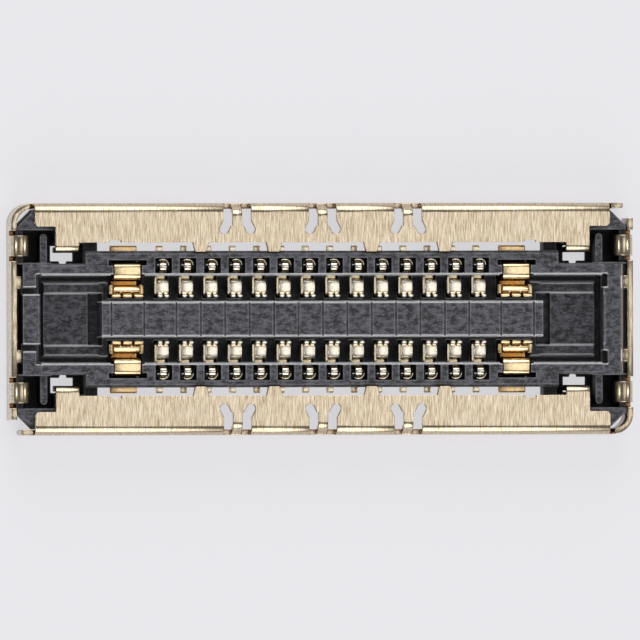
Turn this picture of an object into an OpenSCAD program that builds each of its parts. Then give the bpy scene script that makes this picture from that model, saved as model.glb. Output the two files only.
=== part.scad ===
// Shielded board-to-FPC receptacle: moulded housing, two rows of sprung signal contacts,
// four power contacts and two L-shaped shield halves. Millimetres, board plane at z = 0.
// +X runs along the contact rows, +Y across them, +Z towards the mating plug.

/* [Contacts] */
// Distance between neighbouring signal contacts
pitch = 0.35; // [0.33:0.01:0.4]
// Signal contacts in each row
contacts_per_row = 14; // [12:2:16]
// Thickness of the contact sheet
contact_t = 0.05; // [0.04:0.005:0.055]
// Width of a signal contact's spring arm
spring_w = 0.17; // [0.12:0.01:0.18]
// Width of a signal contact's wall bend and solder tail
tail_w = 0.105; // [0.08:0.005:0.12]
// Width of a power contact's spring arm
power_w = 0.46; // [0.4:0.01:0.48]
// Width of a power contact's wall bend and solder tail
power_tail_w = 0.39; // [0.3:0.01:0.4]
// From the last signal contact to the power contact beside it
power_gap = 0.515; // [0.5:0.005:0.55]
// How far the solder tails stand out of the side walls
tail_reach = 0.085; // [0.05:0.005:0.09]
// Height of the contact's bottom run above the board, to its middle
run_z = 0.085; // [0.08:0.005:0.1]
// Slit that splits a spring's upright tip into prongs
prong_slit = 0.022; // [0.016:0.002:0.03]

/* [Housing] */
// Width of the centre island
island_w = 0.51; // [0.46:0.01:0.54]
// Height of the centre island above the board
island_h = 0.62; // [0.58:0.01:0.63]
// Mating groove between the island and a side wall
groove_w = 0.365; // [0.355:0.005:0.4]
// Thickness of a side wall
wall_t = 0.35; // [0.34:0.005:0.38]
// Height of the side walls above the board
wall_h = 0.58; // [0.55:0.01:0.59]
// Underside of the housing above the board
standoff = 0.02; // [0.01:0.005:0.03]
// Height of the groove floor and the end pads above the board
floor_z = 0.20; // [0.18:0.01:0.22]
// Web left under the contacts and pockets
web_t = 0.03; // [0.025:0.005:0.035]
// Length of an end pad beyond the island pocket
pad_l = 0.64; // [0.55:0.01:0.7]
// Thickness of an end wall
end_wall_t = 0.25; // [0.22:0.01:0.28]
// Cut-off of the housing's outer corners
corner_cut = 0.245; // [0.22:0.005:0.27]

/* [Shield] */
// Thickness of the shield sheet
sheet_t = 0.08; // [0.07:0.005:0.09]
// Height of the shield above the board
shield_h = 0.65; // [0.64:0.01:0.7]
// Outside radius of the bend into the top flange
flange_bend_r = 0.14; // [0.12:0.01:0.16]
// Outside radius of the rounded upright corner
corner_r = 0.3; // [0.26:0.01:0.34]
// Width of the top flange from the shield's outer face to the tail windows
flange_w = 0.56; // [0.55:0.01:0.6]
// Width of the spring fingers pressed inwards from the flange
finger_w = 0.137; // [0.11:0.005:0.16]
// Width of the curved slots beside each spring finger
slot_w = 0.13; // [0.11:0.005:0.14]
// Width of the folded straps on the shield's end
strap_w = 0.294; // [0.26:0.005:0.31]
// Running room between parts that slide into each other
fit = 0.01; // [0.005:0.005:0.015]

/* [Hidden] */

eps = 0.02;            // overshoot of a cut
bevel = 0.014;         // half diagonal of the housing's edge bevels
wall_bevel = 0.026;    // the same on the side walls' outer edges

// Stations across the connector, from the centre plane outwards
island_y = island_w / 2;
wall_in = island_y + groove_w;
wall_out = wall_in + wall_t;
window_lip = 0.03;                      // bar that closes a signal pocket towards the groove
pocket_in = wall_in + window_lip;
pocket_out = wall_out - 0.1;
side_end_out = wall_out - 0.2;          // outer face of the thinned side wall at the ends
flange_in_y = wall_out + 0.12;          // edge of the tail windows
shield_y = flange_in_y + flange_w;      // outer face of the shield's long walls
shield_in_y = shield_y - sheet_t;
mid_y = shield_y - sheet_t / 2;
case_y = shield_in_y - fit;             // long faces of the housing's ends
flange_root_y = shield_y - flange_bend_r;

// Stations along the connector, from the centre outwards
last_signal_x = (contacts_per_row - 1) / 2 * pitch;
power_x = last_signal_x + power_gap;
island_x = power_x + power_w / 2 + 0.145;
pad_in_x = island_x + 0.155;
pad_out_x = pad_in_x + pad_l;
end_in_x = pad_out_x + 0.08;
end_out_x = end_in_x + end_wall_t;
case_x = end_out_x + 0.08;              // end faces of the corner blocks
shield_in_x = case_x + fit;
shield_x = shield_in_x + sheet_t;       // outer end faces of the shield
mid_x = shield_x - sheet_t / 2;
flange_x = case_x - 0.245;              // end of the top flange
tab_out_x = flange_x - 0.295;
tab_in_x = tab_out_x - 0.335;
tab_mid_x = (tab_in_x + tab_out_x) / 2;
neck_x = tab_in_x - 0.295;              // inner faces of the housing's ends
ear_x = neck_x + 0.23;
free_end_x = case_x - 0.09;             // free end of the long wall

// Levels
mid_z = shield_h - sheet_t / 2;
bend_z = shield_h - flange_bend_r;
relief_z = bend_z - 0.08;
end_wall_h = shield_h - 0.05;
case_top = shield_h - sheet_t - fit;    // top of what lies under the flange
slot_z = standoff + web_t;              // floor of the contact slots
window_z = wall_h - 0.08;               // top of the opening from a signal pocket to the groove
pocket_z = floor_z + 0.12;              // floor of a pocket in a side wall
notch_z = floor_z + 0.1;

// Contact centre line
tail_y = wall_out + tail_reach;
tail_z = contact_t / 2;
crest_z = wall_h - 0.03 - contact_t / 2;
leg_gap = 0.12;                         // between the two legs over the wall, middle to middle
leg_in = pocket_in + fit + contact_t / 2;
leg_out = leg_in + leg_gap;
power_leg_in = wall_in - contact_t / 2 - fit;
power_leg_out = leg_out - 0.015;
tip_y = island_y + 0.08;
tip_z = island_h - 0.055;
bulge_z = tip_z - 0.165;                // the spring's widest point, where the plug touches it
shelf_z = tip_z - 0.115;

// Housing openings
pocket_w = 0.24;
run_slot_w = spring_w + 0.03;
power_slot_w = power_w + 0.03;
mid_end_x = power_x + power_slot_w / 2; // end of the contact area
pad_y = wall_in - 0.09;
pad_pocket_y = island_y + 0.115;
groove_cut_w = 0.025;
bend_clear = flange_bend_r - sheet_t + fit;

// End frame of the housing
end_block_y = island_y + 0.1;           // half width of the end wall's middle block
end_notch_y = end_block_y + 0.1;
well_z = standoff + 0.05;
hole_y = side_end_out + 0.06;
tab_y = wall_out - 0.025;               // face of the retaining tab's lip
tab_well_y = tab_y + sheet_t + 0.05;
ear_z = floor_z + 0.15;
strap_y = wall_out + 0.075;             // middle of a strap
strap_gap = 0.19;                       // between the strap's legs, middle to middle
strap_leg_x = mid_x - strap_gap;
strap_leg_z = standoff + 0.13;
rim_z = shield_h - sheet_t - 0.1;
pit_y0 = strap_y - strap_w / 2 - 0.095;
pit_y1 = strap_y + strap_w / 2 + 0.075;
pit_z = standoff + 0.04;
rib_x = end_in_x - 0.055;
rib_y = strap_y + 0.14;
rib_w = 0.1;
rib_z = wall_h - 0.1;

// Shield
bend_mid_r = flange_bend_r - sheet_t / 2;
step_y = shield_y - 0.33;               // flange edge beside the corner
tooth_y = wall_out - fit;                // over the side wall's outer bevel
tooth_w = 0.17;
lip_r = 0.11;                           // outside radius of the retaining tab's nose
lip_z = 0.25;                           // lower end of the retaining tab's lip
end_y = shield_y - 0.22;                // free end of the end wall
relief_w = 0.07;
relief_root_z = 0.2;                    // foot of the relief beside the rounded corner
tip_relief_w = 0.025;
strap_root_z = 0.32;
lip_y = 0.525;                          // middle of the end wall's two inward lips
lip_w = 0.17;
lip_reach = 0.06;
finger_in = 0.055;                      // how far a finger's bend is pressed inwards
finger_x = 3.5 * pitch;
slot_y = shield_y - 0.375;              // round ends of the slots beside the fingers
slot_flare = 0.055;

// ---------- outlines ----------

function unit(v) = v / norm(v);
function left_of(v) = [-v[1], v[0]];
function turned(v, a) = [v[0] * cos(a) - v[1] * sin(a), v[0] * sin(a) + v[1] * cos(a)];
function turn_angle(u, v) = atan2(u[0] * v[1] - u[1] * v[0], u * v);
function xy(p) = [p[0], p[1]];

// Degrees that one facet of a bend turns: finer on the wide bends
function facet_turn(r) = r < 0.08 ? 15 : 7.5;

// Stations of a rounded corner at b between a and c: each holds a point and the way ahead
function corner(a, b, c) =
    let (
        u = unit(xy(b) - xy(a)),
        v = unit(xy(c) - xy(b)),
        turn = turn_angle(u, v),
        side = turn < 0 ? -1 : 1,
        r = b[2],
        steps = max(1, ceil(abs(turn) / facet_turn(r))),
        start = xy(b) - u * r * tan(abs(turn) / 2),
        centre = start + side * r * left_of(u)
    )
    [for (k = [0:steps]) let (d = turned(u, turn * k / steps)) [centre - side * r * left_of(d), d]];

// Stations along an open path of points [x, y, corner radius]
function stations(path) =
    let (n = len(path))
    concat(
        [[xy(path[0]), unit(xy(path[1]) - xy(path[0]))]],
        [for (i = [1:1:n - 2]) each corner(path[i - 1], path[i], path[i + 1])],
        [[xy(path[n - 1]), unit(xy(path[n - 1]) - xy(path[n - 2]))]]
    );

// Outline of a strip of thickness t that follows a path
function strip(path, t) =
    let (s = stations(path))
    concat(
        [for (e = s) e[0] + left_of(e[1]) * t / 2],
        [for (i = [len(s) - 1:-1:0]) s[i][0] - left_of(s[i][1]) * t / 2]
    );

// The same strip with a round start
function round_strip(path, t) =
    let (s = stations(path), d = s[0][1])
    concat(strip(path, t), [for (a = [15:15:165]) s[0][0] + turned(left_of(d), 180 - a) * t / 2]);

// Closed outline with rounded corners, from points [x, y, corner radius]
function rounded(points) =
    let (n = len(points))
    [for (i = [0:n - 1])
        each points[i][2] > 0
            ? [for (e = corner(points[(i + n - 1) % n], points[i], points[(i + 1) % n])) e[0]]
            : [xy(points[i])]];

// Extrudes a y-z outline along X, centred on x
module along_x(x, width)
    translate([x - width / 2, 0, 0]) rotate([90, 0, 90]) linear_extrude(width) children();

// Extrudes an x-z outline along Y, centred on y
module along_y(y, width)
    translate([0, y + width / 2, 0]) rotate([90, 0, 0]) linear_extrude(width) children();

module box(x0, x1, y0, y1, z0, z1)
    translate([x0, y0, z0]) cube([x1 - x0, y1 - y0, z1 - z0]);

// A box and its mirror images in the four quarters
module box4(x0, x1, y0, y1, z0, z1)
    for (sx = [0, 1], sy = [0, 1])
        mirror([sx, 0, 0]) mirror([0, sy, 0]) box(x0, x1, y0, y1, z0, z1);

// A box that spans the centre plane, and its mirror image at the other end
module box2(x0, x1, half_y, z0, z1)
    for (sx = [0, 1])
        mirror([sx, 0, 0]) box(x0, x1, -half_y, half_y, z0, z1);

// ---------- contacts ----------

// From the bottom run's inner end, up past the island: bulge, shelf and upright tip
function spring_path(bulge_y) = [
    [tip_y, run_z, 0.04],
    [tip_y, run_z + 0.09, 0.03],
    [bulge_y, bulge_z, 0.035],
    [tip_y + 0.04, shelf_z, 0.03],
    [tip_y - 0.02, tip_z]
];

signal_path = concat(
    [
        [tail_y, tail_z],
        [leg_out, tail_z, 0.045],
        [leg_out, crest_z, leg_gap / 2 - 0.001],
        [leg_in, crest_z, leg_gap / 2 - 0.001],
        [leg_in, run_z, 0.045]
    ],
    spring_path(tip_y + 0.265)
);

power_path = concat(
    [
        [tail_y, tail_z],
        [power_leg_out, tail_z, 0.045],
        [power_leg_out, crest_z, 0.06],
        [power_leg_in, crest_z, 0.06],
        [power_leg_in, run_z, 0.045]
    ],
    spring_path(tip_y + 0.14)
);

// A contact of the back row at x = 0: narrow over the wall, wide from the inner leg on
module contact(path, leg_y, narrow_w, wide_w, prongs) {
    prong_pitch = wide_w / prongs;
    difference() {
        union() {
            along_x(0, narrow_w) polygon(strip(path, contact_t));
            intersection() {
                along_x(0, wide_w) polygon(strip(path, contact_t));
                union() {
                    box(-wide_w, wide_w, 0, leg_y - contact_t, -eps, island_h);
                    box(-wide_w, wide_w, 0, leg_y + contact_t, -eps, floor_z + 0.14);
                }
            }
        }
        for (i = [1:prongs - 1])
            box(-wide_w / 2 + i * prong_pitch - prong_slit / 2,
                -wide_w / 2 + i * prong_pitch + prong_slit / 2,
                0, tip_y + contact_t, shelf_z + 0.04, island_h);
    }
}

module signal_contact(row, i) {
    x = (i - 1) * pitch - last_signal_x;
    color("wheat") translate([x, 0, 0]) mirror([0, row == "back" ? 0 : 1, 0])
        contact(signal_path, leg_in, tail_w, spring_w, 2);
}

module power_contact(row, side) {
    x = side == "left" ? -power_x : power_x;
    color("goldenrod") translate([x, 0, 0]) mirror([0, row == "back" ? 0 : 1, 0])
        contact(power_path, power_leg_in, power_tail_w, power_w, 3);
}

// ---------- housing ----------

// Room for one signal contact in the back wall at x = 0
module signal_seat() {
    leg_w = tail_w + 2 * fit;
    box(-pocket_w / 2, pocket_w / 2, pocket_in, pocket_out, pocket_z, island_h);
    box(-leg_w / 2, leg_w / 2,
        leg_out - contact_t / 2 - fit, leg_out + contact_t / 2 + fit, 0, wall_h);
    box(-leg_w / 2, leg_w / 2, leg_out, wall_out + eps, 0, contact_t + fit);
    box(-run_slot_w / 2, run_slot_w / 2,
        tip_y - contact_t / 2 - fit, leg_in + contact_t / 2 + fit, slot_z, window_z);
}

// Room for one power contact in the back wall at x = 0
module power_seat() {
    leg_w = power_tail_w + 2 * fit;
    box(-power_slot_w / 2 - 0.03, power_slot_w / 2 + 0.03,
        power_leg_out - contact_t / 2, leg_out + contact_t / 2 + fit, pocket_z, island_h);
    box(-leg_w / 2, leg_w / 2,
        power_leg_out - contact_t / 2 - fit, power_leg_out + contact_t / 2 + fit, 0, wall_h);
    box(-leg_w / 2, leg_w / 2, power_leg_out, wall_out + eps, 0, contact_t + fit);
    box(-leg_w / 2, leg_w / 2, wall_in - eps, power_leg_out, crest_z - contact_t, island_h);
    box(-power_slot_w / 2, power_slot_w / 2,
        tip_y - contact_t / 2 - fit, wall_in + eps, slot_z, island_h);
}

// Outline of one end in plan, with its outer corners cut off
module end_outline() {
    polygon([
        [neck_x, -case_y],
        [case_x - corner_cut, -case_y],
        [case_x, corner_cut - case_y],
        [case_x, case_y - corner_cut],
        [case_x - corner_cut, case_y],
        [neck_x, case_y]
    ]);
}

// Cross-section that keeps the ends clear of the bend into the flange
module end_section() {
    polygon([
        [-case_y, standoff],
        [case_y, standoff],
        [case_y, case_top - bend_clear],
        [case_y - bend_clear, case_top],
        [bend_clear - case_y, case_top],
        [-case_y, case_top - bend_clear]
    ]);
}

module housing_blank() {
    box(-neck_x, neck_x, -wall_out, wall_out, standoff, wall_h);
    box(-end_in_x, end_in_x, -side_end_out, side_end_out, standoff, wall_h);
    box2(neck_x - eps, ear_x - 0.04, wall_out, standoff, wall_h);
    intersection() {
        for (sx = [0, 1])
            mirror([sx, 0, 0]) linear_extrude(case_top) end_outline();
        along_x(0, 2 * case_x) end_section();
    }
}

// Bevel cutter along an edge that runs in X at (y, z)
module edge_x(y, z, x0, x1, b)
    translate([0, y, z]) rotate([45, 0, 0]) box(x0, x1, -b, b, -b, b);

// Bevel cutter along an edge that runs in Y at (x, z)
module edge_y(x, z, y0, y1, b)
    translate([x, 0, z]) rotate([0, 45, 0]) box(-b, b, y0, y1, -b, b);

// Everything cut out of one quarter of the frame round the mating cavity
module end_cuts(notched) {
    // retaining tab: a well, a ledge beside the wall and the hole below the tab's nose
    box(ear_x - 0.04, tab_out_x + 0.05, side_end_out + 0.02, tab_well_y, well_z, wall_h + eps);
    box(tab_in_x + 0.025, tab_out_x + 0.01, hole_y, tab_y + sheet_t + 0.02, 0, well_z + eps);
    translate([tab_mid_x, hole_y, 0]) cylinder(d = 0.11, h = well_z + eps, $fn = 32);
    // ear beside the tail windows
    box(neck_x - eps, ear_x, wall_out, flange_in_y + 0.02, ear_z, wall_h + eps);
    // pit with the upright rib
    difference() {
        box(tab_out_x, strap_leg_x - sheet_t / 2 - fit + eps,
            pit_y0, pit_y1, pit_z, wall_h + eps);
        translate([rib_x, pit_y0 - eps, 0]) union() {
            translate([-rib_w / 2, 0, 0]) cube([rib_w, rib_y - pit_y0, rib_z]);
            translate([0, rib_y - pit_y0, 0]) cylinder(d = rib_w, h = rib_z, $fn = 32);
        }
    }
    // slot that the strap's inner leg goes down into, and the low rim under its arch
    box(strap_leg_x - sheet_t / 2 - fit, strap_leg_x + sheet_t / 2 + fit,
        pit_y0, pit_y1, pit_z, wall_h + eps);
    box(strap_leg_x, case_x + eps, pit_y0, pit_y1, rim_z, wall_h + eps);
    // end wall: notch between its middle and its side blocks, at one end only
    if (notched)
        box(end_in_x - eps, case_x + eps, end_block_y, end_notch_y, notch_z, wall_h + eps);
    // its set-back outer face, with a slit right down beside each of the shield's lips
    box(end_out_x, case_x + eps, -eps, pit_y0 - 0.02, pit_z, wall_h + eps);
    box(end_out_x, case_x + eps, lip_y - lip_w / 2, lip_y + lip_w / 2, 0, pit_z + eps);
    box(end_in_x - eps, end_in_x + 0.06, end_notch_y, wall_in + eps, notch_z, wall_h + eps);
    // clearance cut for the groove's rounded outer corner
    box(pad_out_x, end_in_x, 0, wall_in, slot_z, floor_z + eps);
    box(mid_end_x, end_in_x, pad_y, wall_in, slot_z, floor_z + eps);
    // bevels: side wall, inside and outside, end pad and end wall
    edge_x(wall_in, wall_h, -eps, end_in_x, bevel);
    edge_x(wall_out, wall_h, -eps, ear_x, wall_bevel);
    edge_x(pad_y, floor_z, island_x, pad_out_x, bevel);
    edge_y(pad_out_x, floor_z, -eps, pad_y, bevel);
    edge_y(end_in_x, case_top, -eps, end_block_y, bevel);
}

module island() {
    difference() {
        box(-island_x, island_x, -island_y, island_y, standoff, island_h);
        for (sx = [-1, 1])
            for (x = concat(
                [for (i = [0:contacts_per_row / 2 - 1]) i * pitch],
                [power_x - power_w / 2, power_x + power_w / 2 + 0.01]))
                box(sx * x - groove_cut_w / 2, sx * x + groove_cut_w / 2,
                    -island_y - eps, island_y + eps, island_h - 0.02, island_h + eps);
        for (sy = [-1, 1])
            edge_x(sy * island_y, island_h, -island_x - eps, island_x + eps, bevel);
    }
}

module housing() {
    color("dimgray") union() {
        difference() {
            housing_blank();
            // mating cavity
            box(-end_in_x, end_in_x, -wall_in, wall_in, floor_z, wall_h + eps);
            // shallow recess in the end pads and the deep pocket round the island's ends
            box2(island_x - eps, pad_out_x, pad_pocket_y, floor_z - 0.015, floor_z + eps);
            box2(island_x - 0.05, pad_in_x, pad_pocket_y, slot_z, floor_z + eps);
            for (sx = [0, 1], sy = [0, 1])
                mirror([sx, 0, 0]) mirror([0, sy, 0]) {
                    end_cuts(sx == 1);
                    translate([power_x, 0, 0]) power_seat();
                }
            for (i = [1:contacts_per_row], sy = [0, 1])
                translate([(i - 1) * pitch - last_signal_x, 0, 0])
                    mirror([0, sy, 0]) signal_seat();
        }
        island();
    }
}

// ---------- shield ----------

// Curved slot beside a spring finger, in plan: a straight run and a round end turned away
module finger_slot() {
    x = (finger_w + slot_w) / 2;
    path = [[x + slot_flare, slot_y], [x, slot_y + 0.11, 0.09], [x, shield_y + eps]];
    polygon(round_strip(path, slot_w));
}

// Spring finger in the long wall's upper bend, pressed inwards
module spring_finger() {
    path = [
        [slot_y - slot_w, mid_z],
        [mid_y - finger_in, mid_z, bend_mid_r],
        [mid_y - finger_in, relief_z + 0.05, 0.05],
        [mid_y, relief_z - 0.03, 0.05],
        [mid_y, relief_z - 0.08]
    ];
    along_x(0, finger_w) polygon(strip(path, sheet_t));
}

// One half of the flange in plan, from the centre to its end at +X
module flange_outline() {
    polygon(rounded([
        [-0.1, flange_root_y, 0],
        [-0.1, flange_in_y, 0],
        [tab_in_x - 0.6, flange_in_y, 0.01],
        [tab_in_x - 0.6, flange_in_y + 0.03, 0.01],
        [tab_in_x - 0.44, flange_in_y + 0.03, 0.01],
        [tab_in_x - 0.44, flange_in_y, 0.01],
        [tab_in_x, flange_in_y, 0.02],
        [tab_in_x, tab_y + lip_r, 0],
        [tab_out_x, tab_y + lip_r, 0],
        [tab_out_x, step_y, 0.03],
        [flange_x, step_y, 0.05],
        [flange_x, flange_root_y, 0]
    ]));
}

// Rounded tooth that reaches in over the side wall between two tail windows
module tooth_outline() {
    polygon(rounded([
        [-tooth_w, flange_in_y + 0.02, 0],
        [-tooth_w / 2 - 0.03, flange_in_y, 0.03],
        [-tooth_w / 2, tooth_y, 0.03],
        [tooth_w / 2, tooth_y, 0.03],
        [tooth_w / 2 + 0.03, flange_in_y, 0.03],
        [tooth_w, flange_in_y + 0.02, 0]
    ]));
}

// Retaining tab's nose: a tight bend and a lip that goes down into the housing's well
module tab_lip() {
    path = [
        [tab_y + lip_r + 0.001, mid_z],
        [tab_y + sheet_t / 2, mid_z, lip_r - sheet_t / 2],
        [tab_y + sheet_t / 2, lip_z]
    ];
    along_x(tab_mid_x, tab_out_x - tab_in_x) polygon(strip(path, sheet_t));
}

// Strap folded over the housing's rim: outer leg in the end wall, arch, inner leg in its slot
module strap() {
    path = [
        [-mid_x, strap_root_z],
        [-mid_x, mid_z, strap_gap / 2 - 0.001],
        [-strap_leg_x, mid_z, strap_gap / 2 - 0.001],
        [-strap_leg_x, strap_leg_z]
    ];
    along_y(0, strap_w) polygon(strip(path, sheet_t));
}

// Top flange, its bend and the upper part of the long wall
module flange() {
    bend_path = [[flange_root_y, mid_z], [mid_y, mid_z, bend_mid_r], [mid_y, relief_z]];
    difference() {
        union() {
            translate([0, 0, shield_h - sheet_t]) linear_extrude(sheet_t) union() {
                flange_outline();
                mirror([1, 0]) flange_outline();
                for (i = [-5, -2, 2, 5])
                    translate([i * pitch, 0]) tooth_outline();
            }
            along_x(0, 2 * flange_x) polygon(strip(bend_path, sheet_t));
            tab_lip();
            mirror([1, 0, 0]) tab_lip();
        }
        for (x = [-finger_x, 0, finger_x])
            translate([x, 0, relief_z]) linear_extrude(shield_h) union() {
                finger_slot();
                mirror([1, 0]) finger_slot();
                translate([-finger_w / 2 - eps, slot_y + 0.05])
                    square([finger_w + 2 * eps, shield_y]);
            }
    }
    for (x = [-finger_x, 0, finger_x])
        translate([x, 0, 0]) spring_finger();
}

// Back shield: long wall with its flange, rounded corner and left end wall, from one sheet
module shield() {
    wall_path = [[free_end_x, mid_y], [-mid_x, mid_y, corner_r - sheet_t / 2], [-mid_x, -end_y]];
    flange();
    difference() {
        linear_extrude(end_wall_h) polygon(round_strip(wall_path, sheet_t));
        // the flange's span, with a deep relief at the corner and a narrow one at the free end
        box(-flange_x, flange_x + tip_relief_w,
            shield_in_y - eps, shield_y + eps, relief_z, shield_h);
        box(-flange_x - relief_w, -flange_x,
            shield_in_y - eps, shield_y + eps, relief_root_z, shield_h);
        // low gaps beside the straps
        for (sy = [-1, 1])
            translate([0, sy * strap_y, 0])
                box(-shield_x - eps, -shield_in_x + eps,
                    -strap_w / 2 - relief_w, strap_w / 2 + relief_w, strap_root_z, shield_h);
    }
    for (sy = [-1, 1]) {
        // inward lip on the end wall's edge
        along_y(sy * lip_y, lip_w) polygon([
            [-shield_in_x, end_wall_h],
            [-shield_in_x + lip_reach, end_wall_h],
            [-shield_in_x + lip_reach, end_wall_h - 0.05],
            [-shield_in_x, end_wall_h - 0.11]
        ]);
        translate([0, sy * strap_y, 0]) strap();
    }
}

module shield_back() {
    color("tan") shield();
}

module shield_front() {
    color("tan") rotate([0, 0, 180]) shield();
}

housing();
shield_back();
shield_front();
for (row = ["back", "front"], i = [1:contacts_per_row])
    signal_contact(row, i);
for (row = ["back", "front"], side = ["left", "right"])
    power_contact(row, side);
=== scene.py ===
import math

import bmesh
import bpy
import numpy as np
from bpy.props import FloatProperty, FloatVectorProperty, PointerProperty
from bpy.types import Operator, Panel, PropertyGroup
from mathutils import Matrix, Vector


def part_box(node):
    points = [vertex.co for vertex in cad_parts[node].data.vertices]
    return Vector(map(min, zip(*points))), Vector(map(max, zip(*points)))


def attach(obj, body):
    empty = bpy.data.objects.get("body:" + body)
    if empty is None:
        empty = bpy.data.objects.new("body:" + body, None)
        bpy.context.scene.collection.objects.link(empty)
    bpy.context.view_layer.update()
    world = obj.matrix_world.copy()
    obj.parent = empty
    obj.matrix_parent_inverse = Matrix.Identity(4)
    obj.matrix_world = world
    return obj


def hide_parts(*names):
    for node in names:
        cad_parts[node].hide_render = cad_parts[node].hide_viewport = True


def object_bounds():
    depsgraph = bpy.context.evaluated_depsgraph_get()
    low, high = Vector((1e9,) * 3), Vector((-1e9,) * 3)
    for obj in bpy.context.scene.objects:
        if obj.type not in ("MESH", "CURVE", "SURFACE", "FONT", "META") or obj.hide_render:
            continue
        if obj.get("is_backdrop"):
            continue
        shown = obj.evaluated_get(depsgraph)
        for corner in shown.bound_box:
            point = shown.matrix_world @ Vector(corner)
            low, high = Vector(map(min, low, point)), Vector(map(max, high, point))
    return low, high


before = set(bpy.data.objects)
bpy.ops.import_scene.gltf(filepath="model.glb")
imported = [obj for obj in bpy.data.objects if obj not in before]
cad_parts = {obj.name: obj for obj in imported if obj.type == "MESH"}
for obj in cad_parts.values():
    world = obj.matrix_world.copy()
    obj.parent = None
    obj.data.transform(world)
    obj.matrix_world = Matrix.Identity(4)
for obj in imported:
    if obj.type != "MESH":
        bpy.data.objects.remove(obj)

bl_info = {
    "name": "Board-to-FPC receptacle",
    "version": (1, 0, 0),
    "blender": (4, 5, 0),
    "location": "3D View > Sidebar > Receptacle",
    "description": "Dresses a shielded board-to-FPC receptacle: moulding, shield, sprung contacts and stage",
    "category": "Object",
}

MM = 0.001
ROWS = ("back", "front")


def mm(value):
    """Millimetres as scene metres."""
    return value * MM


# CAD corners closer than this are merged
MERGE_WITHIN = mm(0.0002)
# in degrees: triangles that turn less are one flat face, bends that turn less are shaded smooth, and edges
# that turn more are rounded
FLAT_WITHIN = 1.0
SMOOTH_BELOW = 32
ROUND_ABOVE = 28
# how far the large faces set the shading of the bends beside them
FACE_WEIGHT = 80

# a strip's nose: its stations, how far it narrows in thicknesses, and the least 1 - t * t, so that no
# section closes to nothing
NOSE_STEPS = 4
NOSE_NARROWING = 0.7
NOSE_LEAST = 0.02
# the rounding of a strip's edge stays under this share of its thickness
EDGE_SHARE = 0.48
# a contact widens into its spring arm about this height, from and to these shares of its length around it
WIDE_BELOW = mm(0.34)
WIDENS_BEFORE, WIDENS_AFTER = 0.02, 0.03
# the slits in a spring's tip, and how far the prongs reach back into the strip
PRONG_LENGTH = mm(0.085)
PRONG_OVERLAP = mm(0.03)
# a rail's middle stands this share of its width outside the spring's edge, and its two ends lie these shares
# of the sheet's thickness below the bulge
RAIL_OUT = 0.35
RAIL_BELOW_BULGE, RAIL_BELOW_TIP = 0.7, 0.3

# the painted edge highlight is strongest on the long edges inside this half width of the moulding
CAVITY_HALF = mm(0.66)

# name, strength, angular size in degrees, and where the lamp stands from the connector
LAMPS = (
    ("overhead softbox", 0.27, 32, (0.2, 0.03, 1.0)),
    ("back softbox", 1.35, 50, (0.0, 1.0, 0.6)),
    ("front softbox", 1.25, 50, (0.0, -1.0, 0.6)),
    ("left strip lamp", 0.26, 16, (-1.0, 0.0, 0.75)),
    ("right strip lamp", 0.26, 16, (1.0, 0.0, 0.75)),
)
WORLD_STRENGTH = 0.14
# the share of its own colour that the floor glows by, and how far it lies below the part
FLOOR_GLOW = 0.7
FLOOR_GAP = mm(0.001)

# in degrees: how far the camera leans from straight above, to the left and to the front, and its roll
LEAN_LEFT, LEAN_FRONT, ROLL = 7.4, 0.4, -0.15
VIEW_WIDTH = mm(9.106)
VIEW_CENTRE = (mm(-0.045), mm(-0.0165))
LENS, SENSOR = 1600, 36


# ---------------------------------------------------------------- sizes and colours

def length(name, description, default, low, high):
    """A length property, with its default and limits in millimetres."""
    return FloatProperty(
        name=name, description=description, default=mm(default), min=mm(low), max=mm(high),
        subtype="DISTANCE", unit="LENGTH", precision=6)


class ReceptacleSizes(PropertyGroup):
    """Sizes of the dressed pieces."""

    contact_thickness: length("Contact thickness", "Thickness of the contact sheet", 0.05, 0.02, 0.1)
    contact_edge: length("Contact edge", "Rounding of a contact's stamped edges", 0.014, 0.002, 0.024)
    spring_width: length("Spring width", "Width of a signal contact's spring arm", 0.17, 0.1, 0.2)
    tail_width: length(
        "Tail width", "Width of a signal contact over the wall and at its tail", 0.105, 0.06, 0.14)
    rail_width: length(
        "Rail width", "Width of the stiffened side of a signal contact's spring", 0.038, 0.02, 0.05)
    power_width: length(
        "Power tip width", "Width of a power contact's three prongs together", 0.46, 0.3, 0.48)
    power_spring: length(
        "Power spring width", "Width of a power contact's spring between its stiffened sides",
        0.38, 0.3, 0.44)
    power_tail_width: length(
        "Power tail width", "Width of a power contact over the wall and at its tail", 0.39, 0.2, 0.42)
    power_rail_width: length(
        "Power rail width", "Width of each stiffened side of a power contact's spring", 0.07, 0.03, 0.09)
    prong_slit: length("Prong slit", "Slit between the prongs of a spring's tip", 0.022, 0.01, 0.04)
    moulding_edge: length("Moulding edge", "Rounding of the moulding's edges in its finish", 0.014, 0, 0.02)
    shield_edge: length("Shield edge", "Rounding of the shield's blanked edges", 0.016, 0, 0.03)
    floor_size: length("Floor size", "Side of the floor", 2000, 100, 10000)


def srgb(code):
    """A hex colour as linear RGBA: a channel c is ((c + 0.055) / 1.055) ** 2.4, or c / 12.92 when dark."""
    parts = [int(code[i:i + 2], 16) / 255 for i in (0, 2, 4)]
    return tuple(c / 12.92 if c <= 0.04045 else ((c + 0.055) / 1.055) ** 2.4 for c in parts) + (1.0,)


def colour(name, description, code):
    """A colour property whose default is a hex value."""
    return FloatVectorProperty(
        name=name, description=description, size=4, subtype="COLOR", min=0.0, max=1.0, default=srgb(code))


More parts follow.
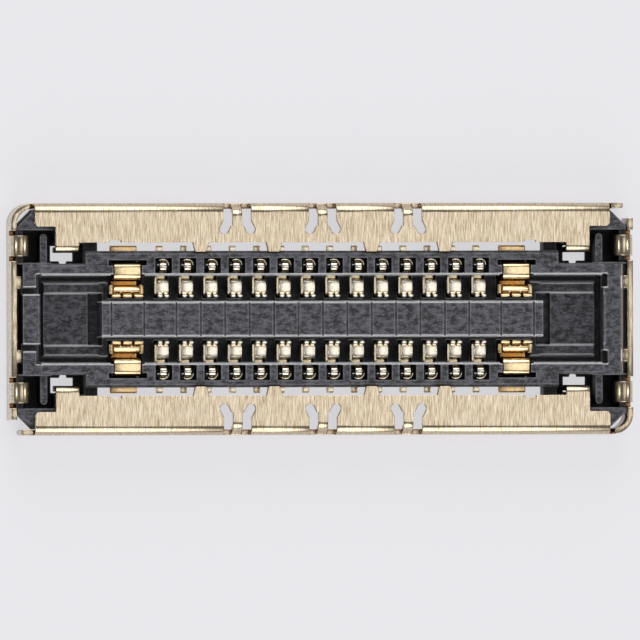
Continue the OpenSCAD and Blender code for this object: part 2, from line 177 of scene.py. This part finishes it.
class ReceptacleColours(PropertyGroup):
    """Colours of the finishes."""

    moulding: colour("Moulding", "Body colour of the liquid crystal polymer", "64646E")
    moulding_fleck: colour("Moulding fleck", "Glass fibre flecks in the moulded skin", "A4A4AE")
    # painted highlight along the moulding's outward edges
    moulding_edge: colour("Moulding edge", "Skin along the moulding's outward edges", "FCFCFF")
    # painted shade in the deep narrow cuts
    moulding_pit_shade: colour("Moulding pit", "Skin in the deep narrow cuts", "0D0D10")
    shield: colour("Shield", "Plated sheet, in its bright lines", "E9DBC4")
    shield_dark: colour("Shield grain", "Plated sheet, in its dark lines", "9C8560")
    # painted shade and reflection where the sheet closes itself in
    shield_recess_shade: colour("Shield recess", "Plated sheet where it reflects itself", "8A5A30")
    signal: colour("Signal plating", "Thin gold on the signal contacts", "FBF2E0")
    # painted reflection and shade where the gold flash is closed in
    signal_recess_shade: colour("Signal recess", "Gold flash where it reflects itself", "E2CDA6")
    power: colour("Power plating", "Heavy gold on the power contacts", "FCE3B4")
    # painted reflection and shade where the heavy gold is closed in
    power_recess_shade: colour("Power recess", "Heavy gold where it reflects itself", "B27012")
    floor: colour("Floor", "Pale floor", "F1F0F4")


def shade_of(tint, share):
    """A colour with each linear channel at a share of itself."""
    return tuple(c * share for c in tint[:3]) + (1.0,)


# ---------------------------------------------------------------- meshes

def new_piece(name, verts, faces, material, slot, *nodes):
    """A finished piece from whole arrays, in place of the CAD nodes named."""
    mesh = bpy.data.meshes.new(name)
    mesh.from_pydata(verts, [], faces)
    mesh.validate()
    mesh.update()
    return finish_piece(name, mesh, material, slot, *nodes)


def finish_piece(name, mesh, material, slot, *nodes):
    """Links a mesh as a piece on the root body and gives it its material. The slot is not used."""
    mesh.materials.clear()
    mesh.materials.append(material)
    piece = bpy.data.objects.new(name, mesh)
    bpy.context.scene.collection.objects.link(piece)
    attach(piece, "root")
    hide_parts(*nodes)
    return piece


def merged_copy(node, name, flatten):
    """A copy of a CAD node's mesh with its corners merged, and its flat triangles made faces if flatten."""
    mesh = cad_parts[node].data.copy()
    mesh.name = name
    if "custom_normal" in mesh.attributes:
        mesh.attributes.remove(mesh.attributes["custom_normal"])
    bm = bmesh.new()
    bm.from_mesh(mesh)
    bmesh.ops.remove_doubles(bm, verts=bm.verts, dist=MERGE_WITHIN)
    if flatten:
        bmesh.ops.dissolve_limit(
            bm, angle_limit=math.radians(FLAT_WITHIN), use_dissolve_boundaries=False,
            verts=bm.verts, edges=bm.edges, delimit={"NORMAL"})
    bm.to_mesh(mesh)
    bm.free()
    return mesh


def level_faces(piece):
    """Lets a piece's large flat faces set the shading of the bends beside them."""
    normals = piece.modifiers.new("Face normals", "WEIGHTED_NORMAL")
    normals.keep_sharp = True
    normals.weight = FACE_WEIGHT


def smooth_bends(piece):
    """Smooth shading over a piece's gentle bends, with its sharp edges kept and its flat faces left flat."""
    piece.data.shade_smooth()
    piece.data.set_sharp_from_angle(angle=math.radians(SMOOTH_BELOW))
    level_faces(piece)


def round_edges(piece, width, segments):
    """Breaks a piece's sharp edges with a small rounding and smooths the bends between them."""
    bevel = piece.modifiers.new("Broken edges", "BEVEL")
    bevel.width = width
    bevel.segments = segments
    bevel.limit_method = "ANGLE"
    bevel.angle_limit = math.radians(ROUND_ABOVE)
    bevel.use_clamp_overlap = True
    bevel.miter_outer = "MITER_ARC"
    bevel.harden_normals = False
    piece.data.shade_smooth()
    level_faces(piece)


def bent_line(points, per_bend=7, step=mm(0.03)):
    """Centre line of a folded strip in the y-z plane, from corners (y, z, bend radius) in metres.

    Each corner is replaced by the arc that is tangent to both of its legs: it starts r * tan(turn / 2)
    before the corner, and a point at angle a on it is start + r * (sin a * along + (1 - cos a) * inwards).
    Straight runs are sampled every step. Returns positions and unit directions as arrays."""
    table = np.array(points, float)
    corners, radii = table[:, :2], table[:, 2]
    legs = np.diff(corners, axis=0)
    legs /= np.linalg.norm(legs, axis=1)[:, None]
    places, ways = [corners[:1]], [legs[:1]]
    for i in range(1, len(corners) - 1):
        u, v = legs[i - 1], legs[i]
        turn = math.atan2(u[0] * v[1] - u[1] * v[0], float(u @ v))
        start = corners[i] - u * radii[i] * math.tan(abs(turn) / 2)
        run = np.linalg.norm(start - places[-1][-1])
        t = np.linspace(0, 1, max(2, int(run / step) + 1))[1:-1, None]
        places.append(places[-1][-1] + t * (start - places[-1][-1]))
        ways.append(np.repeat(u[None], len(t), 0))
        a = np.linspace(0, abs(turn), per_bend)[:, None]
        normal = np.array([-u[1], u[0]]) * np.sign(turn)
        places.append(start + radii[i] * (np.sin(a) * u + (1 - np.cos(a)) * normal))
        ways.append(np.cos(a) * u + np.sin(a) * normal)
    run = np.linalg.norm(corners[-1] - places[-1][-1])
    t = np.linspace(0, 1, max(3, int(run / step) + 1))[1:, None]
    places.append(places[-1][-1] + t * (corners[-1] - places[-1][-1]))
    ways.append(np.repeat(legs[-1][None], len(t), 0))
    return np.concatenate(places), np.concatenate(ways)


def run_length(places):
    """Distance along a line of points to each of them."""
    return np.concatenate([[0], np.cumsum(np.linalg.norm(np.diff(places, axis=0), axis=1))])


def rounded_section(width, thickness, edge, per_corner=4):
    """Cross-section of a stamped strip: a rectangle with quarter-round corners, anticlockwise.

    Width, thickness and edge have one value a station, and each station is a row. A point is the corner's
    centre plus edge * (cos a, sin a)."""
    a = np.linspace(0, math.pi / 2, per_corner)
    angles = np.concatenate([a + k * math.pi / 2 for k in range(4)])
    sx = np.repeat([1, -1, -1, 1], per_corner)
    sy = np.repeat([1, 1, -1, -1], per_corner)
    across = sx * (width[:, None] / 2 - edge[:, None]) + edge[:, None] * np.cos(angles)
    through = sy * (thickness[:, None] / 2 - edge[:, None]) + edge[:, None] * np.sin(angles)
    return across, through


def sweep_faces(n, m):
    """Faces over n sections of m points each, with both ends closed."""
    i, j = np.meshgrid(np.arange(n - 1), np.arange(m), indexing="ij")
    k = (j + 1) % m
    quads = np.stack([i * m + j, i * m + k, (i + 1) * m + k, (i + 1) * m + j], -1).reshape(-1, 4)
    caps = [list(range(m))[::-1], list(range((n - 1) * m, n * m))]
    return quads.tolist() + caps


def folded_strip(line, width, thickness, edge, x=0.0):
    """A strip carried along a centre line: section (across, through) lands at x - across and at the line's
    point plus through times the left normal. Both ends taper to a round nose over half a thickness, where
    the height is the thickness times sqrt(1 - t * t). Width is (shares of the length, widths)."""
    places, ways = line
    s = run_length(places)
    nose = np.linspace(0, 1, NOSE_STEPS + 1)[:-1] * thickness / 2
    between_noses = s[(s > thickness / 2) & (s < s[-1] - thickness / 2)]
    at = np.concatenate([nose, between_noses, s[-1] - nose[::-1]])
    py, pz = np.interp(at, s, places[:, 0]), np.interp(at, s, places[:, 1])
    wy, wz = np.interp(at, s, ways[:, 0]), np.interp(at, s, ways[:, 1])
    size = np.hypot(wy, wz)
    wy, wz = wy / size, wz / size
    t = np.clip(1 - np.minimum(at, s[-1] - at) / (thickness / 2), 0, 1)
    nose_scale = np.sqrt(np.clip(1 - t * t, NOSE_LEAST, 1))
    w = np.interp(at / s[-1], *width) - thickness * (1 - nose_scale) * NOSE_NARROWING
    h = thickness * nose_scale
    across, through = rounded_section(w, h, np.minimum(edge, EDGE_SHARE * h))
    xs = x - across
    ys = py[:, None] - wz[:, None] * through
    zs = pz[:, None] + wy[:, None] * through
    n, m = xs.shape
    verts = np.stack([xs, ys, zs], -1).reshape(-1, 3)
    return verts, sweep_faces(n, m)


def arc_wire(centre, radius, thick, start, stop, steps=14, around=8):
    """A round wire bent in a level plane, with closed ends: a point is centre + (radius + thick * cos v) *
    (cos u, sin u) in plan and thick * sin v in height, with u from start down to stop in degrees, and v
    around the wire."""
    u = np.radians(np.linspace(start, stop, steps))[:, None]
    v = np.linspace(0, 2 * math.pi, around, endpoint=False)[None]
    out = radius + thick * np.cos(v)
    height = np.broadcast_to(centre[2] + thick * np.sin(v), (steps, around))
    verts = np.stack([centre[0] + out * np.cos(u), centre[1] + out * np.sin(u), height], -1).reshape(-1, 3)
    return verts, sweep_faces(steps, around)


def joined(parts):
    """Several (vertices, faces) as one."""
    verts, faces, start = [], [], 0
    for v, f in parts:
        verts.append(v)
        faces += [[start + i for i in face] for face in f]
        start += len(v)
    return np.concatenate(verts), faces


def mirrored(verts, faces):
    """The same shape on the other side of the x-z plane, with its faces turned to point outwards."""
    return verts * np.array([1, -1, 1]), [face[::-1] for face in faces]


# ---------------------------------------------------------------- materials

def connect(tree, node, links):
    """Links a node's inputs to the (node, output) pairs given for them."""
    for key, (source, output) in links.items():
        tree.links.new(source.outputs[output], node.inputs[key])


def add_node(tree, kind, settings=None, links=None):
    """Adds a shader node, sets its attributes or input values in turn, and links its inputs."""
    node = tree.nodes.new(kind)
    for key, value in (settings or {}).items():
        if isinstance(key, str) and hasattr(node, key):
            setattr(node, key, value)
        else:
            node.inputs[key].default_value = value
    connect(tree, node, links or {})
    return node


def new_material(name):
    """An empty node material with its Principled shader already on the output."""
    material = bpy.data.materials.new(name)
    material.use_nodes = True
    tree = material.node_tree
    tree.nodes.clear()
    shader = add_node(tree, "ShaderNodeBsdfPrincipled")
    add_node(tree, "ShaderNodeOutputMaterial", links={"Surface": (shader, "BSDF")})
    return material, tree, shader


def grain(tree, place, size_mm, detail, rough):
    """Noise whose features are size_mm (x, y, z) across on the piece."""
    scaled = add_node(tree, "ShaderNodeMapping", {"Scale": tuple(1 / mm(s) for s in size_mm)},
                      {"Vector": (place, "Object")})
    return add_node(tree, "ShaderNodeTexNoise", {"Scale": 1.0, "Detail": detail, "Roughness": rough},
                    {"Vector": (scaled, "Vector")})


def worn_edges(tree, radius, height, strength, depth):
    """Normals rounded over sharp edges by radius, with a fine relief of the given depth on top."""
    rounded = add_node(tree, "ShaderNodeBevel", {"samples": 6, "Radius": radius})
    return add_node(tree, "ShaderNodeBump", {"Strength": strength, "Distance": depth},
                    {"Height": height, "Normal": (rounded, "Normal")})


def mottled(tree, pattern, low, high, low_tint, high_tint):
    """Low_tint where the pattern, a (node, output) pair, is low or less, passing to high_tint at high."""
    share = add_node(tree, "ShaderNodeMapRange", {"From Min": low, "From Max": high}, {"Value": pattern})
    return add_node(tree, "ShaderNodeMix", {"data_type": "RGBA", "A": low_tint, "B": high_tint},
                    {"Factor": (share, "Result")})


def painted_recess_shade(tree, surface, deep, reach, closed, clear, least=0.0):
    """The surface's colour, a (node, output) pair, passing to deep where the walls within reach close it in:
    painted shade in recesses.

    Ambient occlusion of closed or less leaves the least share of it, and clear or more leaves it whole."""
    near = add_node(tree, "ShaderNodeAmbientOcclusion", {"samples": 6, "Distance": reach})
    share = add_node(tree, "ShaderNodeMapRange", {"From Min": closed, "From Max": clear, "To Min": least},
                     {"Value": (near, "AO")})
    return add_node(tree, "ShaderNodeMix", {"data_type": "RGBA", "A": deep},
                    {"Factor": (share, "Result"), "B": surface})


def edge_highlight_mask(tree, place, radius):
    """1 on outward edges, within about radius of them, and 0 on flat faces and in inner corners: the mask of
    a painted highlight.

    An edge is where the normal rounded by radius leaves the face's own and the near surroundings are open.
    The painted highlight is palest on the long edges inside the cavity, and far fainter on the others."""
    rounded = add_node(tree, "ShaderNodeBevel", {"samples": 6, "Radius": radius})
    face = add_node(tree, "ShaderNodeNewGeometry")
    along = add_node(tree, "ShaderNodeVectorMath", {"operation": "DOT_PRODUCT"},
                     {0: (rounded, "Normal"), 1: (face, "True Normal")})
    turned = add_node(tree, "ShaderNodeMapRange", {"From Min": 0.998, "From Max": 0.98},
                      {"Value": (along, "Value")})
    near = add_node(tree, "ShaderNodeAmbientOcclusion", {"samples": 4, "Distance": radius * 2})
    outward = add_node(tree, "ShaderNodeMapRange", {"From Min": 0.62, "From Max": 0.8},
                       {"Value": (near, "AO")})
    edge = add_node(tree, "ShaderNodeMath", {"operation": "MULTIPLY"},
                    {0: (turned, "Result"), 1: (outward, "Result")})
    lean = add_node(tree, "ShaderNodeSeparateXYZ", links={"Vector": (rounded, "Normal")})
    across = add_node(tree, "ShaderNodeMath", {"operation": "ABSOLUTE"}, {0: (lean, "Y")})
    lengthwise = add_node(tree, "ShaderNodeMapRange", {"From Min": 0.04, "From Max": 0.16},
                          {"Value": (across, "Value")})
    at = add_node(tree, "ShaderNodeSeparateXYZ", links={"Vector": (place, "Object")})
    off_middle = add_node(tree, "ShaderNodeMath", {"operation": "ABSOLUTE"}, {0: (at, "Y")})
    cavity = add_node(tree, "ShaderNodeMath", {"operation": "LESS_THAN", 1: CAVITY_HALF},
                      {0: (off_middle, "Value")})
    long_edge_inside = add_node(tree, "ShaderNodeMath", {"operation": "MULTIPLY"},
                    {0: (lengthwise, "Result"), 1: (cavity, "Value")})
    highlight_share = add_node(tree, "ShaderNodeMapRange", {"To Min": 0.14}, {"Value": (long_edge_inside, "Value")})
    return add_node(tree, "ShaderNodeMath", {"operation": "MULTIPLY"},
                    {0: (edge, "Value"), 1: (highlight_share, "Result")})


def moulded_lcp(colours, edge_radius):
    """Glass-filled liquid crystal polymer, injection moulded: charcoal, half matt and mottled, with pale
    fibre flecks, a painted highlight along its outward edges, and painted shade, near black, in deep narrow
    cuts."""
    material, tree, shader = new_material("moulded glass filled LCP")
    place = add_node(tree, "ShaderNodeTexCoord")
    body = tuple(colours.moulding)
    # the skin is clouded by the melt's flow, 0.12 mm long and 0.07 mm wide, and glass fibres 0.01 mm thick
    # are drawn as dashes of 0.018 by 0.05 mm, as coarse as they need to show
    cloud = grain(tree, place, (0.12, 0.07, 0.07), detail=6.0, rough=0.8)
    base = mottled(tree, (cloud, "Fac"), 0.43, 0.57, shade_of(body, 0.1), body)
    dash = grain(tree, place, (0.05, 0.018, 0.018), detail=3.0, rough=0.6)
    fibres = add_node(tree, "ShaderNodeMapRange", {"From Min": 0.6, "From Max": 0.78},
                      {"Value": (dash, "Fac")})
    flecked = add_node(tree, "ShaderNodeMix", {"data_type": "RGBA", "B": tuple(colours.moulding_fleck)},
                       {"Factor": (fibres, "Result"), "A": (base, "Result")})
    # painted shade, near black, in the deep narrow cuts
    shaded = painted_recess_shade(tree, (flecked, "Result"), tuple(colours.moulding_pit_shade),
                      reach=mm(0.45), closed=0.26, clear=0.5, least=0.06)
    # painted highlight along the outward edges, palest on the long edges inside the cavity
    edges = edge_highlight_mask(tree, place, mm(0.034))
    highlighted = add_node(tree, "ShaderNodeMix", {"data_type": "RGBA", "B": tuple(colours.moulding_edge)},
                     {"Factor": (edges, "Value"), "A": (shaded, "Result")})
    gloss = add_node(tree, "ShaderNodeMapRange",
                     {"From Min": 0.3, "From Max": 0.7, "To Min": 0.66, "To Max": 0.46},
                     {"Value": (dash, "Fac")})
    bump = worn_edges(tree, edge_radius, (cloud, "Fac"), strength=0.8, depth=mm(0.02))
    connect(tree, shader, {
        "Base Color": (highlighted, "Result"), "Roughness": (gloss, "Result"), "Normal": (bump, "Normal")})
    shader.inputs["IOR"].default_value = 1.6
    return material


def brushed_plated_sheet(colours):
    """Nickel-silver sheet with a thin champagne plate, rolled and brushed: fine bright and dark lines across
    the connector, and a warmer, darker tone painted where the sheet closes itself in: painted shade and
    reflection."""
    material, tree, shader = new_material("brushed plated nickel silver")
    place = add_node(tree, "ShaderNodeTexCoord")
    # brushing lines of 0.002 mm are drawn 0.009 mm apart and 0.2 mm long, as coarse as they need to show
    length_lines = grain(tree, place, (0.009, 0.2, 0.2), detail=4.0, rough=0.75)
    end_lines = grain(tree, place, (0.2, 0.009, 0.2), detail=4.0, rough=0.75)
    face = add_node(tree, "ShaderNodeNewGeometry")
    lean = add_node(tree, "ShaderNodeSeparateXYZ", links={"Vector": (face, "True Normal")})
    endwise = add_node(tree, "ShaderNodeMath", {"operation": "ABSOLUTE"}, {0: (lean, "X")})
    on_end = add_node(tree, "ShaderNodeMath", {"operation": "GREATER_THAN", 1: 0.75},
                      {0: (endwise, "Value")})
    # on the end walls the lines stand upright too, so there the fine spacing runs along y
    lines = add_node(tree, "ShaderNodeMix", {"data_type": "FLOAT"},
                     {"Factor": (on_end, "Value"), "A": (length_lines, "Fac"), "B": (end_lines, "Fac")})
    base = mottled(tree, (lines, "Result"), 0.34, 0.62, tuple(colours.shield_dark), tuple(colours.shield))
    # painted shade and reflection in the sheet's recesses
    shaded = painted_recess_shade(tree, (base, "Result"), tuple(colours.shield_recess_shade),
                      reach=mm(0.3), closed=0.35, clear=0.72)
    rough = add_node(tree, "ShaderNodeMapRange",
                     {"From Min": 0.3, "From Max": 0.7, "To Min": 0.28, "To Max": 0.16},
                     {"Value": (lines, "Result")})
    bump = worn_edges(tree, mm(0.02), (lines, "Result"), strength=0.3, depth=mm(0.002))
    connect(tree, shader, {
        "Base Color": (shaded, "Result"), "Roughness": (rough, "Result"), "Normal": (bump, "Normal")})
    shader.inputs["Metallic"].default_value = 1.0
    return material


def gold_plated_copper(name, plating, recess, grit_mm):
    """Copper alloy strip with electroplated gold: bright, with a faint grain from stamping and duller
    patches. Where its neighbours close it in, a deeper colour is painted: painted reflection of its own gold
    and painted shade."""
    material, tree, shader = new_material(name)
    place = add_node(tree, "ShaderNodeTexCoord")
    # the grain of 0.002 mm is drawn grit_mm wide, as coarse as it needs to show, and the patches thrice that
    patch = grain(tree, place, (grit_mm * 3, grit_mm * 3, grit_mm * 3), detail=3.0, rough=0.6)
    fine = grain(tree, place, (grit_mm, grit_mm * 2, grit_mm * 2), detail=3.0, rough=0.6)
    base = mottled(tree, (patch, "Fac"), 0.3, 0.55, shade_of(plating, 0.88), plating)
    # painted reflection and shade where the neighbours close the strip in
    shaded = painted_recess_shade(tree, (base, "Result"), recess, reach=mm(0.28), closed=0.36, clear=0.56)
    rough = add_node(tree, "ShaderNodeMapRange",
                     {"From Min": 0.3, "From Max": 0.7, "To Min": 0.16, "To Max": 0.3},
                     {"Value": (fine, "Fac")})
    bump = add_node(tree, "ShaderNodeBump", {"Strength": 0.25, "Distance": mm(0.0015)},
                    {"Height": (fine, "Fac")})
    connect(tree, shader, {
        "Base Color": (shaded, "Result"), "Roughness": (rough, "Result"), "Normal": (bump, "Normal")})
    shader.inputs["Metallic"].default_value = 1.0
    return material


# ---------------------------------------------------------------- pieces

def contact_corners(outer, inner, crest, bulge, drop):
    """Corners (y, z, bend radius) of a back-row contact's centre line, from its solder tail to its tip.

    In mm: the tail, up the outside of the wall at outer, over its top at crest, down at inner, along the
    bottom, and up past the island, out to a bulge that lies drop below the tip, and back in."""
    tail, foot, run = 1.055, 0.025, 0.085
    tip_y, tip_z = 0.335, 0.565
    over = min(abs(outer - inner) / 2 - 0.001, 0.06)
    corners = (
        (tail, foot, 0), (outer, foot, 0.045), (outer, crest, over), (inner, crest, over),
        (inner, run, 0.045), (tip_y, run, 0.04), (tip_y, run + 0.09, 0.03), (bulge, tip_z - drop, 0.035),
        (tip_y + 0.04, tip_z - 0.115, 0.03), (tip_y - 0.02, tip_z, 0))
    return [(mm(y), mm(z), mm(radius)) for y, z, radius in corners]


def contact_mesh(sizes, corners, narrow, wide, tip_width, prongs, rails):
    """One back-row contact at x = 0: a strip that widens below the wall's crest, then one strip for each
    prong, and a rail (x, width) along each stiffened side of the spring, straight from its bulge to beside
    its tip."""
    thickness, edge, slit = sizes.contact_thickness, sizes.contact_edge, sizes.prong_slit
    places, ways = bent_line(corners)
    s = run_length(places)
    inner = corners[3][0]
    low_inside = (places[:, 0] < inner + thickness) & (places[:, 1] < WIDE_BELOW)
    widen = s[low_inside][0] / s[-1]
    split = s[-1] - PRONG_LENGTH
    keep = s <= split
    scale = s[-1] / s[keep][-1]
    width = ([0, (widen - WIDENS_BEFORE) * scale, (widen + WIDENS_AFTER) * scale, 1],
             [narrow, narrow, wide, wide])
    parts = [folded_strip((places[keep], ways[keep]), width, thickness, edge)]
    last = s >= split - PRONG_OVERLAP
    tip = (places[last], ways[last])
    prong = (tip_width - slit * (prongs - 1)) / prongs
    for k in range(prongs):
        x = (k - (prongs - 1) / 2) * (prong + slit)
        parts.append(folded_strip(tip, ([0, 1], [prong, prong]), thickness, edge, x))
    bulge_y, bulge_z, _ = corners[-3]
    tip_y = corners[-1][0]
    side = bent_line([(bulge_y + thickness / 2, bulge_z - thickness * RAIL_BELOW_BULGE, 0),
                      (tip_y + thickness / 2, bulge_z - thickness * RAIL_BELOW_TIP, 0)])
    for x, across in rails:
        parts.append(folded_strip(side, ([0, 1], [across, across]), thickness, edge, x))
    return joined(parts)


def place_contacts(kind, shape, plate, slot):
    """Puts the back-row shape in place of a kind's back nodes, and its mirror image for the front ones."""
    for node in sorted(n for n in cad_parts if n.startswith(kind)):
        low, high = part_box(node)
        verts, faces = shape if "_back_" in node else mirrored(*shape)
        middle = np.array([(low.x + high.x) / 2, 0, 0])
        piece = new_piece("spring_" + node, verts + middle, faces, plate, slot, node)
        piece.data.shade_smooth()


class RECEPTACLE_OT_moulding(Operator):
    """Dress the moulded housing: its corners merged, its edges rounded and its polymer skin"""

    bl_idname = "receptacle.moulding"
    bl_label = "Moulded housing"

    def execute(self, context):
        sizes, colours = context.scene.receptacle_sizes, context.scene.receptacle_colours
        skin = moulded_lcp(colours, sizes.moulding_edge)
        mesh = merged_copy("housing", "moulded_housing", flatten=False)
        piece = finish_piece("moulded_housing", mesh, skin, "moulding", "housing")
        smooth_bends(piece)
        return {"FINISHED"}


class RECEPTACLE_OT_shield(Operator):
    """Dress both shield halves: blanked edges rounded and the plated sheet brushed"""

    bl_idname = "receptacle.shield"
    bl_label = "Shield halves"

    def execute(self, context):
        sizes, colours = context.scene.receptacle_sizes, context.scene.receptacle_colours
        sheet = brushed_plated_sheet(colours)
        for row in ROWS:
            name = "formed_shield_" + row
            mesh = merged_copy("shield_" + row, name, flatten=True)
            piece = finish_piece(name, mesh, sheet, "shield_sheet", "shield_" + row)
            round_edges(piece, sizes.shield_edge, segments=2)
        return {"FINISHED"}


class RECEPTACLE_OT_signal_contacts(Operator):
    """Form the signal contacts: one folded strip each, with a split tip"""

    bl_idname = "receptacle.signal_contacts"
    bl_label = "Signal contacts"

    def execute(self, context):
        sizes, colours = context.scene.receptacle_sizes, context.scene.receptacle_colours
        plate = gold_plated_copper(
            "gold flashed copper alloy", tuple(colours.signal), tuple(colours.signal_recess_shade), grit_mm=0.012)
        corners = contact_corners(outer=0.805, inner=0.685, crest=0.525, bulge=0.60, drop=0.128)
        rail = sizes.rail_width
        strip = contact_mesh(
            sizes, corners, narrow=sizes.tail_width, wide=sizes.spring_width, tip_width=sizes.spring_width,
            prongs=2, rails=[(-sizes.spring_width / 2 - rail * RAIL_OUT, rail)])
        # the curled shoulder beside the arch, which holds the contact in its pocket
        shoulder = arc_wire(
            centre=(mm(-0.005), mm(0.77), mm(0.5)), radius=mm(0.084), thick=mm(0.013), start=128, stop=0)
        place_contacts("signal_contact_", joined([strip, shoulder]), plate, "signal_plating")
        return {"FINISHED"}


class RECEPTACLE_OT_power_contacts(Operator):
    """Form the power contacts: wide folded strips with three prongs"""

    bl_idname = "receptacle.power_contacts"
    bl_label = "Power contacts"

    def execute(self, context):
        sizes, colours = context.scene.receptacle_sizes, context.scene.receptacle_colours
        plate = gold_plated_copper(
            "heavy gold plated copper alloy", tuple(colours.power), tuple(colours.power_recess_shade), grit_mm=0.02)
        corners = contact_corners(outer=0.79, inner=0.585, crest=0.525, bulge=0.475, drop=0.165)
        rail = sizes.power_rail_width
        strip = contact_mesh(
            sizes, corners, narrow=sizes.power_tail_width, wide=sizes.power_spring,
            tip_width=sizes.power_width, prongs=3,
            rails=[(side * (sizes.power_spring / 2 + rail * RAIL_OUT), rail) for side in (-1, 1)])
        place_contacts("power_contact_", strip, plate, "power_plating")
        return {"FINISHED"}


def sun(name, strength, size_deg, towards):
    """A soft distant lamp that stands in the direction towards and shines at the origin."""
    lamp = bpy.data.lights.new(name, "SUN")
    lamp.energy = strength
    lamp.angle = math.radians(size_deg)
    lit = bpy.data.objects.new(name, lamp)
    lit.rotation_euler = Vector(towards).to_track_quat("Z", "Y").to_euler()
    bpy.context.scene.collection.objects.link(lit)


def lit_from_below(tree, shader, tint, share):
    """Lets the floor glow by a share of its colour to the eye and in reflections, and keeps its shadows."""
    path = add_node(tree, "ShaderNodeLightPath")
    mirror = add_node(tree, "ShaderNodeMath", {"operation": "MAXIMUM"},
                      {0: (path, "Is Glossy Ray"), 1: (path, "Is Transmission Ray")})
    seen = add_node(tree, "ShaderNodeMath", {"operation": "MAXIMUM"},
                    {0: (path, "Is Camera Ray"), 1: (mirror, "Value")})
    part = add_node(tree, "ShaderNodeMath", {"operation": "MULTIPLY", 1: share}, {0: (seen, "Value")})
    glow = add_node(tree, "ShaderNodeEmission", {"Color": tint, "Strength": 1.0})
    mixed = add_node(tree, "ShaderNodeMixShader",
                     links={0: (part, "Value"), 1: (shader, "BSDF"), 2: (glow, "Emission")})
    output = next(n for n in tree.nodes if n.type == "OUTPUT_MATERIAL")
    connect(tree, output, {"Surface": (mixed, "Shader")})


def look_down(top):
    """A camera far above the connector, whose picture spans the view's width at the height top.

    Its backward axis is away, and its up axis is y made square to away and rolled about it."""
    lens = bpy.data.cameras.new("camera")
    lens.sensor_width, lens.lens = SENSOR, LENS
    away = Vector((-math.sin(math.radians(LEAN_LEFT)), -math.sin(math.radians(LEAN_FRONT)), 1)).normalized()
    distance = VIEW_WIDTH / 2 / (SENSOR / 2 / LENS)
    lens.clip_start, lens.clip_end = distance * 0.01, distance * 100
    camera = bpy.data.objects.new("camera", lens)
    camera.location = Vector((*VIEW_CENTRE, top)) + away * distance
    roll = Matrix.Rotation(math.radians(ROLL), 3, away)
    up = roll @ (Vector((0, 1, 0)) - away * away.y).normalized()
    camera.rotation_euler = Matrix((up.cross(away), up, away)).transposed().to_euler()
    return camera


class RECEPTACLE_OT_stage(Operator):
    """Set the pale floor, the soft lamps and the camera above the connector"""

    bl_idname = "receptacle.stage"
    bl_label = "Stage"

    def execute(self, context):
        scene = context.scene
        tint = tuple(scene.receptacle_colours.floor)
        low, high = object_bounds()
        half = scene.receptacle_sizes.floor_size / 2
        mesh = bpy.data.meshes.new("floor")
        corner = np.array([[-1, -1, 0], [1, -1, 0], [1, 1, 0], [-1, 1, 0]]) * half
        mesh.from_pydata(corner + np.array([0, 0, low.z - FLOOR_GAP]), [], [(0, 1, 2, 3)])
        paper, tree, shader = new_material("matt pale paper")
        shader.inputs["Base Color"].default_value = tint
        shader.inputs["Roughness"].default_value = 0.9
        lit_from_below(tree, shader, tint, FLOOR_GLOW)
        mesh.materials.append(paper)
        floor = bpy.data.objects.new("floor", mesh)
        scene.collection.objects.link(floor)
        floor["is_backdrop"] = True

        for lamp in LAMPS:
            sun(*lamp)
        world = bpy.data.worlds.new("studio")
        scene.world = world
        world.use_nodes = True
        sky = world.node_tree.nodes["Background"]
        sky.inputs["Color"].default_value = (1, 1, 1, 1)
        sky.inputs["Strength"].default_value = WORLD_STRENGTH

        camera = look_down(high.z)
        scene.collection.objects.link(camera)
        scene.camera = camera
        scene.view_settings.view_transform = "Standard"
        return {"FINISHED"}


PIECES = (
    RECEPTACLE_OT_moulding,
    RECEPTACLE_OT_shield,
    RECEPTACLE_OT_signal_contacts,
    RECEPTACLE_OT_power_contacts,
    RECEPTACLE_OT_stage,
)


class RECEPTACLE_PT_pieces(Panel):
    """Lists the receptacle's pieces, sizes and colours"""

    bl_label = "Receptacle"
    bl_idname = "RECEPTACLE_PT_pieces"
    bl_space_type = "VIEW_3D"
    bl_region_type = "UI"
    bl_category = "Receptacle"

    def draw(self, context):
        for group in (context.scene.receptacle_sizes, context.scene.receptacle_colours):
            box = self.layout.box()
            for name in group.__annotations__:
                box.prop(group, name)
        for piece in PIECES:
            self.layout.operator(piece.bl_idname)


CLASSES = (ReceptacleSizes, ReceptacleColours) + PIECES + (RECEPTACLE_PT_pieces,)


def register():
    """Registers the classes and puts the sizes and colours on the scene."""
    for cls in CLASSES:
        bpy.utils.register_class(cls)
    bpy.types.Scene.receptacle_sizes = PointerProperty(type=ReceptacleSizes)
    bpy.types.Scene.receptacle_colours = PointerProperty(type=ReceptacleColours)


def unregister():
    """Undoes register."""
    del bpy.types.Scene.receptacle_colours
    del bpy.types.Scene.receptacle_sizes
    for cls in reversed(CLASSES):
        bpy.utils.unregister_class(cls)


def main():
    """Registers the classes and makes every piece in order."""
    register()
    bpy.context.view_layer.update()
    bpy.ops.receptacle.moulding()
    bpy.ops.receptacle.shield()
    bpy.ops.receptacle.signal_contacts()
    bpy.ops.receptacle.power_contacts()
    bpy.ops.receptacle.stage()


if __name__ == "__main__":
    main()
